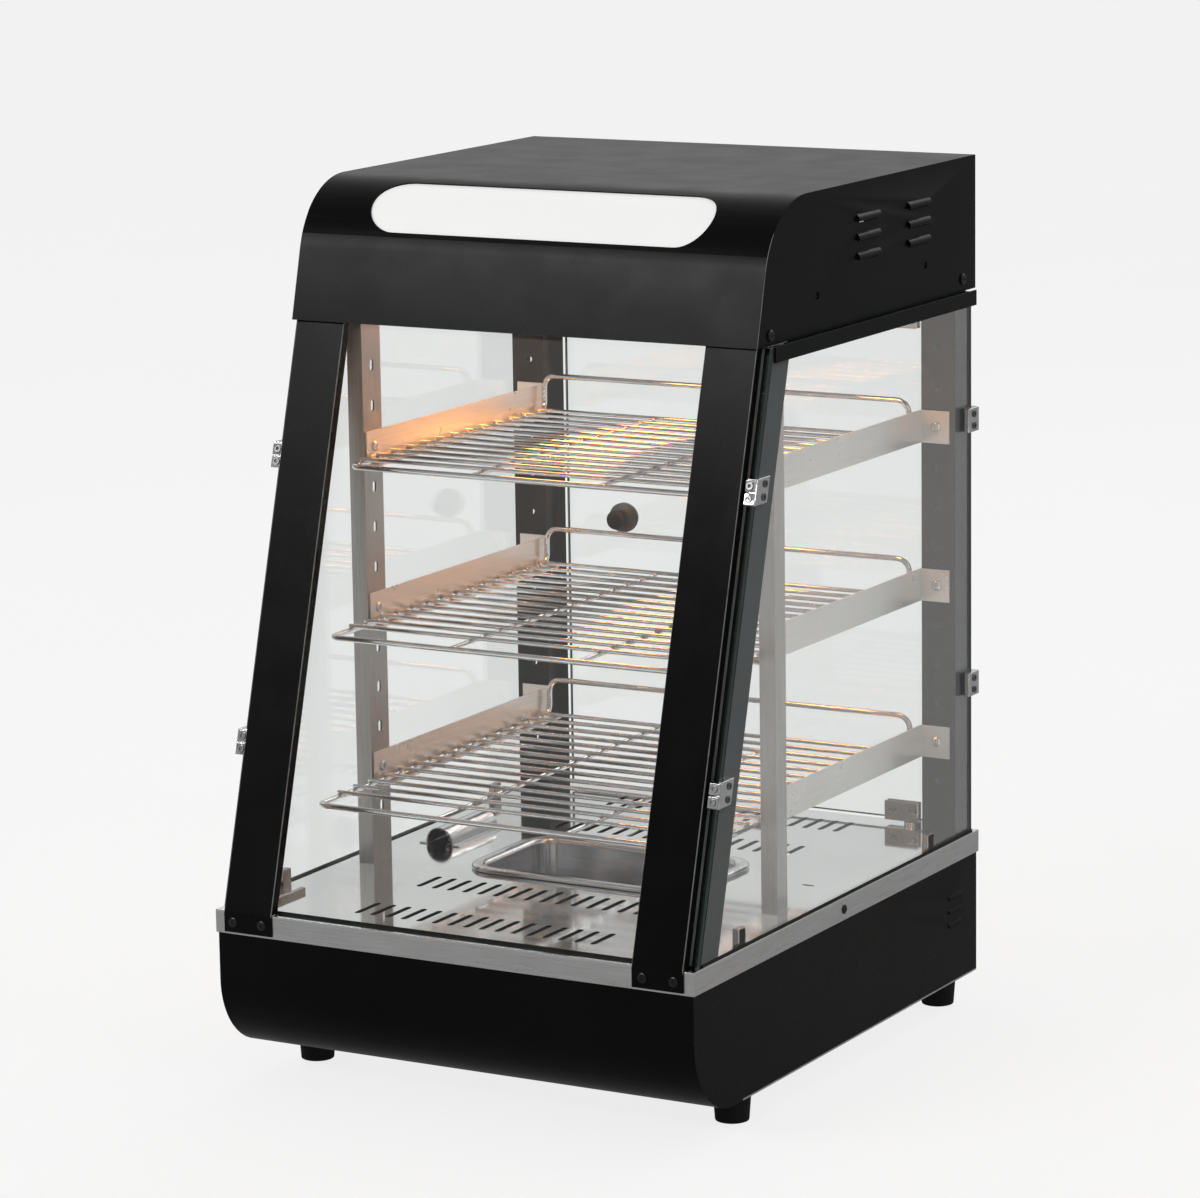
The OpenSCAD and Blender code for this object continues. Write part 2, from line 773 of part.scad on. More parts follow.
module hood_side_right() {
    x = hood_half;
    color([0.12, 0.12, 0.12]) {
        difference() {
            plate_x(x - sheet, x) hood_outline(sheet, hood_z, rear_y - sheet);
            for (y = hood_louvre_y, z = hood_louvre_z) louvre_cut(x, y, z, 34, 4);
            for (p = hood_hole_places) rod_x(x - 3, x + 1, p[0], p[1], 2.6);
            for (p = hood_screw_places) rod_x(x - 3, x + 1, p[0], p[1], 2.05);
            translate([x - 3, -86, 521.5]) rotate([28, 0, 0]) cube([5, 1.6, 12], center = true);
        }
        intersection() {
            for (y = hood_louvre_y, z = hood_louvre_z) louvre_hood(x - 0.1, y, z, 34, 4.4);
            block(x - 0.5, x + 4, -case_d, case_d, 0, case_h);
        }
    }
}

module hood_side_left() { to_left() hood_side_right(); }

module hood_rear_panel() {
    color([0.12, 0.12, 0.12]) difference() {
        block(-hood_half, hood_half, rear_y - sheet, rear_y, hood_z, case_h);
        for (x = [-160, -40, 40, 160]) rod_y(rear_y - 3, rear_y + 1, x, hood_z + 8, 2.05);
        for (i = [-6:6], z = [560, 585]) plate_y(rear_y - 3, rear_y + 1)
            translate([i * 18, z]) slot_2d(14, 4);
    }
}

module ceiling_panel() {
    color([0.72, 0.72, 0.74]) difference() {
        block(-rail_in, rail_in, -99, 205, ceiling_z, ceiling_z + sheet);
        for (s = [-1, 1]) translate([s * 80, 40, ceiling_z - 1])
            linear_extrude(4) round_rect(96, 54, 8);
    }
}

module sign_window() {
    r1 = hood_bend_r - sheet - 0.1;
    color([0.95, 0.95, 0.93]) translate([0, bend_y, bend_z])
        plate_x(-sign_half - 8, sign_half + 8) intersection() {
            difference() {
                circle(r1, $fn = 96);
                circle(r1 - 2, $fn = 96);
            }
            polygon([[0, 0], [-80 * sin(12), 80 * cos(12)],
                     [-90 * sin(40), 90 * cos(40)], [-80 * sin(69), 80 * cos(69)]]);
        }
}

lamp_z = hood_z + 28;
lamp_y = 40;

lamp_cap_r = 7.5;
lamp_cap_end = 150;

// ceramic holder: a cup for the lamp's cap on a short stand
module lamp_holder() {
    z0 = ceiling_z + sheet;
    x = 148;
    difference() {
        union() {
            block(x - 1.5, x + 1.5, lamp_y - 16, lamp_y + 16, z0, lamp_z + 16);
            rod_x(x - 13, x + 13, lamp_y, lamp_z, 13);
        }
        rod_x(x - 14, lamp_cap_end, lamp_y, lamp_z, lamp_cap_r + 0.05);
    }
    block(x - 10, x + 10, lamp_y - 16, lamp_y + 16, z0, z0 + 1.5);
}

module lamp_holders() {
    color([0.88, 0.87, 0.83]) {
        lamp_holder();
        to_left() lamp_holder();
    }
}

module lamp_bulb() {
    rod_x(112, lamp_cap_end, lamp_y, lamp_z, lamp_cap_r);
    rod_x(62, 118, lamp_y, lamp_z, 12);
    translate([62, lamp_y, lamp_z]) sphere(r = 12);
}

module lamp_bulbs() {
    color([1, 0.8, 0.45]) {
        lamp_bulb();
        to_left() lamp_bulb();
    }
}

// black rails under the sides of the hood, and a folded header over the rear door
module top_rails() {
    color([0.1, 0.1, 0.1]) {
        for (s = [-1, 1]) {
            x0 = s > 0 ? rail_in : -hood_half + sheet;
            block(x0, x0 + hood_half - sheet - rail_in, -68.5, 205, header_z, hood_z + 6);
        }
        block(-rail_in, rail_in, rear_post_y, 212, header_z, header_z + sheet);
        for (y = [rear_post_y, 212 - sheet])
            block(-rail_in, rail_in, y, y + sheet, header_z, ceiling_z);
    }
}

// ---------- rear door ----------

module door_pivot_bushes() {
    z_low = deck_z;
    z_high = header_z;
    color([0.55, 0.55, 0.57]) {
        difference() {
            rod_z(z_low, z_low + 2.6, pivot_x, door_y, 7);
            rod_z(z_low + 0.6, z_low + 4, pivot_x, door_y, pin_r + pin_gap);
        }
        difference() {
            rod_z(z_high - 3.6, z_high, pivot_x, door_y, 7);
            rod_z(z_high - 5, z_high - 0.6, pivot_x, door_y, pin_r + pin_gap);
        }
    }
}

module magnet_catch() {
    color([0.2, 0.2, 0.2]) {
        block(-140, -96, door_y - 18, door_y - 5.2, header_z - 9, header_z);
        for (x = [-132, -104]) block(x - 4, x + 4, door_y - 5.2, door_y - 4.4,
                                     header_z - 8, header_z - 2);
    }
}

door_left = -door_w / 2;
door_right = door_w / 2;

module door_glass() {
    color([0.75, 0.9, 0.85, 0.3])
        block(door_left, door_right, door_y - door_t / 2, door_y + door_t / 2, door_z0, door_z1);
}

// chrome pivot clamp round the edge of the door glass, with its pin
module pivot_clamp(z0, pin_z0, pin_z1) {
    difference() {
        block(clamp_x0, clamp_x0 + clamp_w, door_y - clamp_t / 2, door_y + clamp_t / 2,
              z0, z0 + clamp_h);
        block(clamp_x0 - 1, clamp_x0 + clamp_w + 1, door_y - door_t / 2, door_y + door_t / 2,
              door_z0, door_z1);
        clamp_screw_places() translate([0, 0, -3]) cylinder(h = 4, r = 1.45);
    }
    rod_z(pin_z0, pin_z1, pivot_x, door_y, pin_r);
}

// its children at the four screws of the two clamps
module clamp_screw_places() {
    for (z = [door_z0 + 6.5, door_z1 - 6.5], x = [7, 23])
        translate([clamp_x0 + x, door_y - clamp_t / 2, z]) rotate([90, 0, 0]) children();
}

module door_clamps() {
    low = door_z0 - clamp_web;
    high = door_z1 + clamp_web - clamp_h;
    color([0.75, 0.74, 0.72]) {
        pivot_clamp(low, deck_z + 0.9, low + 0.5);
        pivot_clamp(high, door_z1 + clamp_web - 0.5, header_z - 0.9);
    }
}

module door_clamp_screws() {
    color([0.6, 0.6, 0.62]) clamp_screw_places() screw(2.8, 1.2, 1.4, 1.8);
}

// knob on the outside, joined through the glass to a thin inner cap
module door_knob() {
    y1 = door_y + door_t / 2;
    color([0.08, 0.09, 0.09]) {
        rod_y(y1, y1 + 6, knob_x, knob_z, 6);
        rod_y(y1 + 6 - eps, y1 + 13, knob_x, knob_z, 11);
        translate([knob_x, y1 + 13 - eps, knob_z]) rotate([-90, 0, 0])
            cylinder(h = 3, r1 = 11, r2 = 8);
        rod_y(y1 - door_t - 2.5, y1 - door_t, knob_x, knob_z, 7);
    }
}

module strike_plate() {
    color([0.7, 0.7, 0.72]) {
        block(-136, -100, door_y - door_t / 2 - 1, door_y - door_t / 2,
              door_z1 - 12, door_z1 + 0.8);
        block(-136, -100, door_y - door_t / 2 - 1, door_y + door_t / 2 + 1,
              door_z1, door_z1 + 0.8);
        block(-136, -100, door_y + door_t / 2, door_y + door_t / 2 + 1,
              door_z1 - 12, door_z1 + 0.8);
    }
}

// ---------- wire shelves ----------

wire_bend = 9;
support_x = 50;

// a quarter ring of frame wire, centred on the origin, in the X-Y plane
module wire_corner(r) { rotate_extrude(angle = 90) translate([r, 0]) circle(frame_wire_r, $fn = 32); }

// frame wire with turned up backstop, cross wires welded on top, two supports below
module wire_shelf(i) {
    z = bracket_mid(i) - shelf_lift;
    front = shelf_front[i];
    rear = shelf_rear_y;
    top = z + backstop_h;
    cross_z = z + frame_wire_r + cross_wire_r - 0.5;
    low_z = cross_z - 2 * cross_wire_r + 0.5;
    corner = 6;
    color([0.78, 0.78, 0.8]) {
        // front wire, its corners and the side wires
        rod_x(-shelf_half + corner, shelf_half - corner, front, z, frame_wire_r);
        for (s = [-1, 1]) {
            translate([s * (shelf_half - corner), front + corner, z])
                rotate([0, 0, s > 0 ? -90 : 180]) wire_corner(corner);
            rod_y(front + corner, rear - wire_bend, s * shelf_half, z, frame_wire_r);
            // rear of the side wire turns up
            translate([s * shelf_half, rear - wire_bend, z + wire_bend])
                rotate([0, 90, 0]) wire_corner(wire_bend);
            rod_z(z + wire_bend, top - wire_bend, s * shelf_half, rear, frame_wire_r);
            translate([s * (shelf_half - wire_bend), rear, top - wire_bend])
                rotate([90, s > 0 ? 0 : -90, 0]) wire_corner(wire_bend);
        }
        rod_x(-shelf_half + wire_bend, shelf_half - wire_bend, rear, top, frame_wire_r);
        // cross wires
        for (y = [rear - 10 : -wire_pitch : front + 12])
            rod_x(-shelf_half - 1.5, shelf_half + 1.5, y, cross_z, cross_wire_r);
        // long supports under the cross wires
        for (s = [-1, 1])
            rod_y(front, rear - 9, s * support_x, low_z, cross_wire_r + 0.2);
    }
}

module wire_shelf_bottom() { wire_shelf(0); }
module wire_shelf_middle() { wire_shelf(1); }
module wire_shelf_top() { wire_shelf(2); }

// ---------- water pan ----------

module water_pan() {
    w = pan_w - 2 * pan_rim;
    d = pan_d - 2 * pan_rim;
    z_rim = deck_z + pan_gap;
    z_low = z_rim - pan_depth + pan_rim_t;
    color([0.75, 0.75, 0.77]) translate([0, pan_y, 0]) difference() {
        union() {
            translate([0, 0, z_rim]) linear_extrude(pan_rim_t) round_rect(pan_w, pan_d, 22);
            translate([0, 0, z_low]) linear_extrude(z_rim - z_low + eps) round_rect(w, d, 16);
        }
        translate([0, 0, z_low + pan_wall]) linear_extrude(pan_depth)
            round_rect(w - 2 * pan_wall, d - 2 * pan_wall, 15);
    }
}

// ---------- moving controls ----------

module thermostat_dial() {
    y0 = base_rear_y + 0.5;
    y1 = case_d / 2;
    color([0.07, 0.07, 0.07]) difference() {
        union() {
            rod_y(y0, y0 + 3, dial_x, control_z, 19);
            rod_y(y0 + 3 - eps, y1, dial_x, control_z, 15);
            rod_y(base_rear_y - 13, y0 + eps, dial_x, control_z, dial_shaft_r);
        }
        for (a = [0:20:340]) rotate_about_dial(a)
            rod_y(y0 + 3, y1 + 1, dial_x + 16, control_z, 2);
        rotate_about_dial(-90) block(dial_x + 4, dial_x + 14, y1 - 0.8, y1 + 1,
                                    control_z - 0.7, control_z + 0.7);
    }
}

module rotate_about_dial(a) {
    translate([dial_x, 0, control_z]) rotate([0, a, 0]) translate([-dial_x, 0, -control_z])
        children();
}

// seesaw rocker, resting with its upper half pushed in
module rocker(x) {
    rod_x(x - 7, x + 7, rocker_y, control_z, rocker_pin_r);
    translate([x, rocker_y, control_z]) rotate([rocker_tilt, 0, 0])
        plate_x(-rocker_w / 2, rocker_w / 2) polygon([
            [-4, -5], [0, -rocker_h / 2], [4.6, -rocker_h / 2], [3.4, 0],
            [4.6, rocker_h / 2], [0, rocker_h / 2], [-4, 5]]);
}

module power_rocker() { color([0.1, 0.45, 0.15]) rocker(switch_x[0]); }
module light_rocker() { color([0.12, 0.12, 0.12]) rocker(switch_x[1]); }

base_front_wrap();
base_side_left();
base_side_right();
base_rear_panel();
base_bottom_plate();
rubber_feet();
foot_screws();
deck_plate();
heating_element();
heater_brackets();
thermostat_body();
switch_housings();
pilot_lamp();
power_inlet();
inlet_pins();
terminal_block();
probe_guard();
thermostat_probe();
front_post_left();
front_post_right();
rear_post_left();
rear_post_right();
shelf_brackets_left();
shelf_brackets_right();
bracket_screws();
front_glass();
side_glass_left();
side_glass_right();
corner_angle_left();
corner_angle_right();
front_strip_left();
front_strip_right();
black_screws();
glass_clips_left();
glass_clips_right();
clip_screws();
glass_stops();
hood_top_wrap();
hood_side_left();
hood_side_right();
hood_rear_panel();
ceiling_panel();
sign_window();
lamp_holders();
lamp_bulbs();
top_rails();
door_pivot_bushes();
magnet_catch();
door_glass();
door_clamps();
door_clamp_screws();
door_knob();
strike_plate();
wire_shelf_bottom();
wire_shelf_middle();
wire_shelf_top();
water_pan();
thermostat_dial();
power_rocker();
light_rocker();
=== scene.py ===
import json
import math
import bmesh
import bpy
from mathutils import Matrix, Vector

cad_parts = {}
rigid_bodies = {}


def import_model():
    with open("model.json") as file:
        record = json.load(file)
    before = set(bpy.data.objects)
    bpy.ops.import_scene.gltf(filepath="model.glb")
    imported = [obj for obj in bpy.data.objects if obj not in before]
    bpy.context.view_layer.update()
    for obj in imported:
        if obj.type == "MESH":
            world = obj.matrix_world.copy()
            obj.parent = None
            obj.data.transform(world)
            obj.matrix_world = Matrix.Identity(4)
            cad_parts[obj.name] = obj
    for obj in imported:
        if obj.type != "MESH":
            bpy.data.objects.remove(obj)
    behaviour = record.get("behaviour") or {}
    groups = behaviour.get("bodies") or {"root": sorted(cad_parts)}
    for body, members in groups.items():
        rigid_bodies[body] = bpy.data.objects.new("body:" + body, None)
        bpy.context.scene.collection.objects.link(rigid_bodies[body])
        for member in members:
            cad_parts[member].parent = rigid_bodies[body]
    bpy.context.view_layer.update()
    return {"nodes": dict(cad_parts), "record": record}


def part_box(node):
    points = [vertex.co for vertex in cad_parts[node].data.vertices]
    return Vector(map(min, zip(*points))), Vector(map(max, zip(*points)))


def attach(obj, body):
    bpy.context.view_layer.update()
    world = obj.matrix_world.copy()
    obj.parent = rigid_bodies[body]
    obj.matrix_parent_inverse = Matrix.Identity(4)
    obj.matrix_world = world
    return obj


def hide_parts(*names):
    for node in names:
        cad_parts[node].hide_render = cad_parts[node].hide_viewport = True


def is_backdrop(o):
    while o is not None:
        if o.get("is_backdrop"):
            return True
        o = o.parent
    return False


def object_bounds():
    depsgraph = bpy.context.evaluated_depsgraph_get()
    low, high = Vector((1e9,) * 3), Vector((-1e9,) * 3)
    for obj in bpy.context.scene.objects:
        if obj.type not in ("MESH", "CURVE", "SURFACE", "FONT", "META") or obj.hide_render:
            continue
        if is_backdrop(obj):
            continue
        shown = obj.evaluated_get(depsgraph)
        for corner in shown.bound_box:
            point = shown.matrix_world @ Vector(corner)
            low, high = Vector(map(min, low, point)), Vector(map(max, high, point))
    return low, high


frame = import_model()
nodes = frame["nodes"]
record = frame["record"]
body_of = {n: b for b, members in record["behaviour"]["bodies"].items() for n in members}
slot_of = {s["node"]: s["material_slot"] for s in record["subparts"]}
scene = bpy.context.scene
scene.view_settings.view_transform = "Standard"


# ---------------------------------------------------------------- materials

def shader(name):
    """A new material with a Principled shader wired to its output."""
    mat = bpy.data.materials.new(name)
    mat.use_nodes = True
    tree = mat.node_tree
    tree.nodes.clear()
    out = tree.nodes.new("ShaderNodeOutputMaterial")
    bsdf = tree.nodes.new("ShaderNodeBsdfPrincipled")
    tree.links.new(bsdf.outputs["BSDF"], out.inputs["Surface"])
    return mat, tree, bsdf, out


def noise(tree, scale, stretch=(1, 1, 1), detail=3.0, rough=0.5):
    """Noise in the piece's own space; a small stretch along an axis draws it out that way."""
    coord = tree.nodes.new("ShaderNodeTexCoord")
    place = tree.nodes.new("ShaderNodeMapping")
    place.inputs["Scale"].default_value = stretch
    tex = tree.nodes.new("ShaderNodeTexNoise")
    tex.inputs["Scale"].default_value = scale
    tex.inputs["Detail"].default_value = detail
    tex.inputs["Roughness"].default_value = rough
    tree.links.new(coord.outputs["Object"], place.inputs["Vector"])
    tree.links.new(place.outputs["Vector"], tex.inputs["Vector"])
    return tex.outputs["Fac"]


def spread(tree, value, from_low, from_high, low, high):
    """The number value, taken from from_low..from_high to low..high."""
    node = tree.nodes.new("ShaderNodeMapRange")
    for socket, number in (("From Min", from_low), ("From Max", from_high),
                           ("To Min", low), ("To Max", high)):
        node.inputs[socket].default_value = number
    tree.links.new(value, node.inputs["Value"])
    return node.outputs["Result"]


NOISE_LOW, NOISE_HIGH = 0.3, 0.7      # where most of a noise's values lie


def ramp(tree, value, low, high):
    """A noise spread over low..high, numbers or colours."""
    if isinstance(low, (int, float)):
        return spread(tree, value, NOISE_LOW, NOISE_HIGH, low, high)
    node = tree.nodes.new("ShaderNodeValToRGB")
    for stop, place, colour in zip(node.color_ramp.elements, (NOISE_LOW, NOISE_HIGH),
                                   (low, high)):
        stop.position = place
        stop.color = (*colour, 1)
    tree.links.new(value, node.inputs["Fac"])
    return node.outputs["Color"]


def bump(tree, bsdf, height, strength, distance):
    node = tree.nodes.new("ShaderNodeBump")
    node.inputs["Strength"].default_value = strength
    node.inputs["Distance"].default_value = distance
    tree.links.new(height, node.inputs["Height"])
    tree.links.new(node.outputs["Normal"], bsdf.inputs["Normal"])


def coated(name, dark, light, rough, peel=0.08, spec=0.5, coat=0.0, scale=9.0):
    """Painted or moulded surface: faint mottling, soft gloss changes, fine orange peel."""
    mat, tree, bsdf, _ = shader(name)
    tree.links.new(ramp(tree, noise(tree, scale), dark, light), bsdf.inputs["Base Color"])
    tree.links.new(ramp(tree, noise(tree, scale * 3.5, detail=5), rough[0], rough[1]),
                   bsdf.inputs["Roughness"])
    bump(tree, bsdf, noise(tree, 900.0, detail=2), peel, 0.0004)
    bsdf.inputs["Specular IOR Level"].default_value = spec
    bsdf.inputs["Coat Weight"].default_value = coat
    bsdf.inputs["Coat Roughness"].default_value = 0.15
    return mat


def metal(name, dark, light, rough, stretch=(1, 1, 1), grain=220.0, depth=0.05, metallic=1.0):
    """Bare metal with a fine grain that follows stretch, and a few soft smudges. A dull film
    on it takes it below metallic 1."""
    mat, tree, bsdf, _ = shader(name)
    tree.links.new(ramp(tree, noise(tree, grain, stretch, 2), dark, light),
                   bsdf.inputs["Base Color"])
    tree.links.new(ramp(tree, noise(tree, 26.0, detail=6, rough=0.6), rough[0], rough[1]),
                   bsdf.inputs["Roughness"])
    bump(tree, bsdf, noise(tree, grain, stretch, 2), depth, 0.0003)
    bsdf.inputs["Metallic"].default_value = metallic
    return mat


def folded_tray(name, fold_z):
    """Mirror-bright sheet above fold_z, satin brushed skirts below it."""
    mat, tree, bsdf, _ = shader(name)
    coord = tree.nodes.new("ShaderNodeTexCoord")
    split = tree.nodes.new("ShaderNodeSeparateXYZ")
    tree.links.new(coord.outputs["Object"], split.inputs["Vector"])
    blend = 0.0001                    # height over which the one look turns into the other
    above = spread(tree, split.outputs["Z"], fold_z - blend, fold_z + blend, 0.0, 1.0)
    grain = noise(tree, 900.0, (0.03, 0.03, 1), 2)
    for socket, skirt, top_noise, top in (
            ("Base Color", (0.64, 0.74), noise(tree, 9.0, detail=5), (0.86, 0.93)),
            ("Roughness", (0.26, 0.36), noise(tree, 18.0, detail=6, rough=0.6), (0.05, 0.11))):
        mix = tree.nodes.new("ShaderNodeMixRGB")
        tree.links.new(above, mix.inputs["Fac"])
        for colour, texture, (low, high) in (("Color1", grain, skirt), ("Color2", top_noise, top)):
            tree.links.new(ramp(tree, texture, (low,) * 3, (high,) * 3), mix.inputs[colour])
        tree.links.new(mix.outputs["Color"], bsdf.inputs[socket])
    bump(tree, bsdf, noise(tree, 35.0, detail=2), 0.02, 0.0004)
    bsdf.inputs["Metallic"].default_value = 1.0
    return mat


def pane(name, tint):
    """Clear glass. Lamps shine through it, so the inside of the case stays lit."""
    mat, tree, bsdf, out = shader(name)
    smudge = ramp(tree, noise(tree, 6.0, detail=6, rough=0.65), 0.0, 0.012)
    tree.links.new(smudge, bsdf.inputs["Roughness"])
    bsdf.inputs["Base Color"].default_value = (*tint, 1)
    bsdf.inputs["Transmission Weight"].default_value = 1.0
    bsdf.inputs["IOR"].default_value = 1.5
    bsdf.inputs["Specular IOR Level"].default_value = 0.25
    path = tree.nodes.new("ShaderNodeLightPath")
    clear = tree.nodes.new("ShaderNodeBsdfTransparent")
    clear.inputs["Color"].default_value = (*tint, 1)
    mix = tree.nodes.new("ShaderNodeMixShader")
    tree.links.new(path.outputs["Is Shadow Ray"], mix.inputs["Fac"])
    tree.links.new(bsdf.outputs["BSDF"], mix.inputs[1])
    tree.links.new(clear.outputs["BSDF"], mix.inputs[2])
    tree.links.new(mix.outputs["Shader"], out.inputs["Surface"])
    return mat


def glow(name, dark, light, colour, strength, rough):
    """A bulb, lens or cover that glows evenly in one colour. On the sign window the glow is
    painted light.
    """
    mat, tree, bsdf, _ = shader(name)
    tree.links.new(ramp(tree, noise(tree, 14.0), dark, light), bsdf.inputs["Base Color"])
    tree.links.new(ramp(tree, noise(tree, 60.0), rough, rough + 0.1), bsdf.inputs["Roughness"])
    bsdf.inputs["Emission Color"].default_value = (*colour, 1)
    bsdf.inputs["Emission Strength"].default_value = strength
    bsdf.inputs["Specular IOR Level"].default_value = 0.2
    return mat


ALONG_X, ALONG_Y, ALONG_Z = (0.02, 1, 1), (1, 0.02, 1), (1, 1, 0.02)
deck_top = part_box("deck_plate")[1].z
fold_z = deck_top - 0.0013            # a sheet's thickness below the top
LOOK = {
    "black_paint": coated("black_powder_coat", (0.0028, 0.0028, 0.0030), (0.0045, 0.0045, 0.0048),
                          (0.24, 0.31), 0.05, 0.085),
    "galvanised": metal("zinc_sheet", (0.50, 0.51, 0.52), (0.62, 0.63, 0.64), (0.28, 0.42),
                        grain=70.0),
    "rubber": coated("foot_rubber", (0.006, 0.006, 0.006), (0.012, 0.012, 0.012), (0.7, 0.85),
                     0.3, 0.25),
    "screw_steel": metal("plated_screw", (0.55, 0.55, 0.56), (0.70, 0.70, 0.71), (0.18, 0.30)),
    "black_screw": coated("black_plated_screw", (0.006, 0.006, 0.006), (0.014, 0.014, 0.014),
                          (0.22, 0.34), 0.05, 0.35),
    "stainless": metal("polished_stainless", (0.62, 0.62, 0.63), (0.72, 0.72, 0.73), (0.10, 0.18),
                       ALONG_X, 700.0, 0.006),
    "element": metal("oxidised_tube", (0.10, 0.09, 0.085), (0.22, 0.19, 0.17), (0.45, 0.65),
                     grain=120.0, depth=0.15),
    "cream_plastic": coated("cream_moulding", (0.62, 0.59, 0.50), (0.70, 0.67, 0.58),
                            (0.40, 0.52), 0.06),
    "black_plastic": coated("black_moulding", (0.008, 0.009, 0.009), (0.015, 0.016, 0.017),
                            (0.32, 0.46), 0.12, 0.3),
    "green_plastic": coated("green_rocker", (0.02, 0.26, 0.06), (0.03, 0.36, 0.09),
                            (0.18, 0.28), 0.03, 0.5, 0.4),
    "pilot_green": glow("green_lens", (0.02, 0.30, 0.07), (0.04, 0.42, 0.11), (0.1, 0.9, 0.3),
                        0.15, 0.12),
    "brass": metal("brass_blade", (0.62, 0.46, 0.20), (0.74, 0.56, 0.27), (0.2, 0.32)),
    "post_steel": metal("satin_steel", (0.30, 0.29, 0.28), (0.36, 0.35, 0.34), (0.30, 0.38),
                        ALONG_Z, 1300.0, 0.01, 0.80),
    "bracket_steel": metal("satin_strip", (0.62, 0.62, 0.61), (0.70, 0.70, 0.69), (0.26, 0.34),
                           ALONG_Y, 1300.0, 0.01, 0.5),
    "dark_steel": coated("dark_grey_coat", (0.022, 0.023, 0.023), (0.030, 0.031, 0.031),
                         (0.30, 0.40), 0.05, 0.2),
    "angle_steel": coated("grey_green_coat", (0.450, 0.480, 0.490), (0.540, 0.570, 0.580),
                          (0.30, 0.40), 0.05, 0.3),
    "glass": pane("clear_glass", (0.948, 0.961, 0.954)),
    "chrome": metal("chrome_plate", (0.70, 0.70, 0.71), (0.80, 0.80, 0.81), (0.05, 0.11),
                    grain=160.0, depth=0.01),
    "clamp_chrome": metal("warm_chrome", (0.34, 0.29, 0.25), (0.44, 0.38, 0.33), (0.08, 0.16),
                          grain=160.0, depth=0.02),
    "set_screw": metal("grey_set_screw", (0.14, 0.14, 0.145), (0.26, 0.26, 0.265), (0.22, 0.36)),
    # painted light: the sign window glows though no lamp lies behind it, so its curved underside
    # stays evenly bright
    "sign_white": glow("sign_acrylic_painted_glow", (0.60, 0.60, 0.60), (0.64, 0.64, 0.64), (1, 1, 0.99),
                       0.50, 0.30),
    "ceramic": coated("lamp_ceramic", (0.70, 0.69, 0.63), (0.78, 0.77, 0.72), (0.25, 0.4), 0.05),
    "lamp_glass": glow("lamp_envelope", (1.0, 0.80, 0.50), (1.0, 0.86, 0.60), (1.0, 0.60, 0.24),
                       6.0, 0.1),
    "deck": folded_tray("deck_sheet", fold_z),
    "glass_edge": coated("glass_cut_edge", (0.003, 0.012, 0.009), (0.008, 0.030, 0.022),
                         (0.08, 0.20), 0.02, 0.5, scale=60.0),
    # painted highlight: light grey on the dark folds, standing for the glint those edges catch
    "fold_highlight": coated("painted_fold_highlight", (0.16, 0.16, 0.16), (0.30, 0.30, 0.30),
                         (0.20, 0.30), 0.02, 0.5, scale=90.0),
    "seal": coated("black_seal", (0.004, 0.005, 0.005), (0.008, 0.009, 0.009), (0.5, 0.65), 0.1,
                   0.2, scale=60.0),
}


# ---------------------------------------------------------------- pieces

def new_piece(name, mesh, mats, body, replaced=()):
    """A piece that rides on body, standing in for the replaced nodes."""
    piece = bpy.data.objects.new(name, mesh)
    scene.collection.objects.link(piece)
    mesh.materials.clear()
    for m in mats:
        mesh.materials.append(m)
    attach(piece, body)
    if replaced:
        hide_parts(*replaced)
    return piece


def for_node(name, mesh, mats, node):
    """A piece that replaces node on its own body."""
    return new_piece(name, mesh, mats, body_of[node], (node,))


def smooth(mesh, angle):
    for p in mesh.polygons:
        p.use_smooth = True
    mesh.set_sharp_from_angle(angle=math.radians(angle))


def add_bevel(piece, name, width, limit):
    mod = piece.modifiers.new(name, "BEVEL")
    mod.width = width
    mod.segments = 2
    mod.limit_method = limit
    mod.use_clamp_overlap = True
    mod.harden_normals = True
    return mod


WELD = 2e-6                           # corners closer than this are one
FLAT = math.radians(0.4)              # faces flatter than this to each other are one
FOLD = 35                             # degrees from which an edge counts as a fold


def softened(node, width, look="", highlight_edge=None):
    """The node's own shape with its folded and cut edges rounded. Edges that the given test picks
    out get a wider fold of their own, coloured light grey as a painted highlight."""
    mesh = nodes[node].data.copy()
    bm = bmesh.new()
    bm.from_mesh(mesh)
    bmesh.ops.remove_doubles(bm, verts=bm.verts, dist=WELD)
    bmesh.ops.dissolve_limit(bm, angle_limit=FLAT, verts=bm.verts, edges=bm.edges)
    bmesh.ops.recalc_face_normals(bm, faces=bm.faces)
    for f in bm.faces:
        f.material_index = 0
    if highlight_edge:
        weight = bm.edges.layers.float.new("bevel_weight_edge")
        for e in bm.edges:
            if len(e.link_faces) == 2 and e.calc_face_angle() > math.radians(FOLD) and highlight_edge(e):
                e[weight] = 1.0
    bm.to_mesh(mesh)
    bm.free()
    smooth(mesh, FOLD)
    mats = [LOOK[look or slot_of[node]]] + ([LOOK["fold_highlight"]] if highlight_edge else [])
    piece = for_node(node + "_finished", mesh, mats, node)
    if highlight_edge:
        # the painted highlight: a wider bevel in the light grey fold material
        add_bevel(piece, "painted_highlight_bevel", 0.0006, "WEIGHT").material = 1
    add_bevel(piece, "rounded_edges", width, "ANGLE").angle_limit = math.radians(FOLD)
    return piece


def glass_sheet(node, axis):
    """A pane with ground edges: its two broad faces are clear and its cut edges dark green."""
    piece = softened(node, 0.0005)
    mesh = piece.data
    mesh.materials.append(LOOK["glass_edge"])
    for p in mesh.polygons:
        p.material_index = 0 if abs(p.normal.dot(axis)) > 0.9 else 1
    piece.modifiers["rounded_edges"].material = 1


LEAN = math.radians(15.8)             # of the front pane, back from upright
glass_sheet("front_glass", Vector((0, -math.cos(LEAN), math.sin(LEAN))))
glass_sheet("side_glass_left", Vector((1, 0, 0)))
glass_sheet("side_glass_right", Vector((1, 0, 0)))
glass_sheet("door_glass", Vector((0, 1, 0)))

